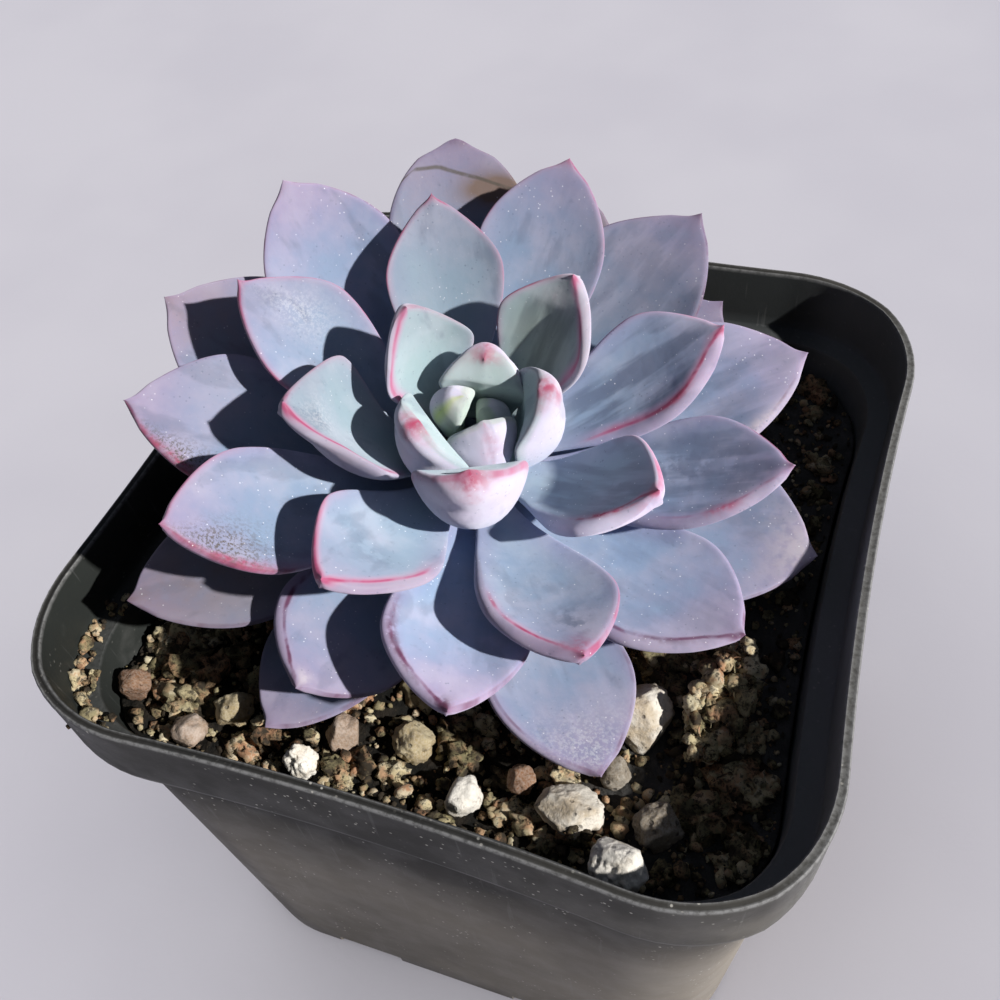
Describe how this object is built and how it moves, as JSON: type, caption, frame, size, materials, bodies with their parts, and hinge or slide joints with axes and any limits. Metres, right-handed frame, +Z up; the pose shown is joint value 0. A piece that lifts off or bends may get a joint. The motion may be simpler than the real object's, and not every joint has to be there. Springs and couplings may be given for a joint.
{
  "type": "potted echeveria",
  "caption": "Rosette of fleshy pointed leaves on a short stem, growing in gritty soil in a square black nursery pot.",
  "frame": {"origin": "centre of the pot's flat underside", "axes": "+Z up; the pot's square sides lie along X and Y, and the rosette leans a little towards +X and -Y"},
  "size_m": [0.0682, 0.0682, 0.0792],
  "materials": {
    "pot_plastic": "worn, dusty, near-black",
    "soil_peat": "rough, crumbly",
    "peat_fibre": "fibrous",
    "stem_green": "dull",
    "stone_pale": "rough, porous",
    "stone_tan": "rough",
    "leaf_inner": "powdery bloom",
    "leaf_outer": "powdery bloom"
  },
  "bodies": {
    "root": {"pot": "pot_plastic", "soil": "soil_peat", "peat_clump": "peat_fibre", "stem": "stem_green", "stone_cream_large": "stone_pale", "stone_pale_front": "stone_pale", "stone_grey": "stone_pale", "stone_pale_shaded": "stone_pale", "stone_yellow_round": "stone_pale", "stone_cream_upright": "stone_pale", "stone_pink": "stone_pale", "stone_white_small": "stone_pale", "stone_buff_small": "stone_pale", "stone_yellow_left": "stone_pale", "stone_buff_left": "stone_pale", "stone_brown": "stone_tan", "stone_tan": "stone_tan", "leaf_01": "leaf_inner", "leaf_02": "leaf_inner", "leaf_03": "leaf_inner", "leaf_04": "leaf_inner", "leaf_05": "leaf_inner", "leaf_06": "leaf_inner", "leaf_07": "leaf_inner", "leaf_08": "leaf_inner", "leaf_09": "leaf_outer", "leaf_10": "leaf_outer", "leaf_11": "leaf_outer", "leaf_12": "leaf_outer", "leaf_13": "leaf_outer", "leaf_14": "leaf_outer", "leaf_15": "leaf_outer", "leaf_16": "leaf_outer", "leaf_17": "leaf_outer", "leaf_18": "leaf_outer", "leaf_19": "leaf_outer", "leaf_20": "leaf_outer", "leaf_21": "leaf_outer", "leaf_22": "leaf_outer", "leaf_23": "leaf_outer", "leaf_24": "leaf_outer", "leaf_25": "leaf_outer", "leaf_26": "leaf_outer", "leaf_27": "leaf_outer", "leaf_28": "leaf_outer", "leaf_29": "leaf_outer", "leaf_30": "leaf_outer", "leaf_31": "leaf_outer", "leaf_32": "leaf_outer", "leaf_33": "leaf_outer", "leaf_34": "leaf_outer", "leaf_35": "leaf_outer"}
  },
  "joints": []
}
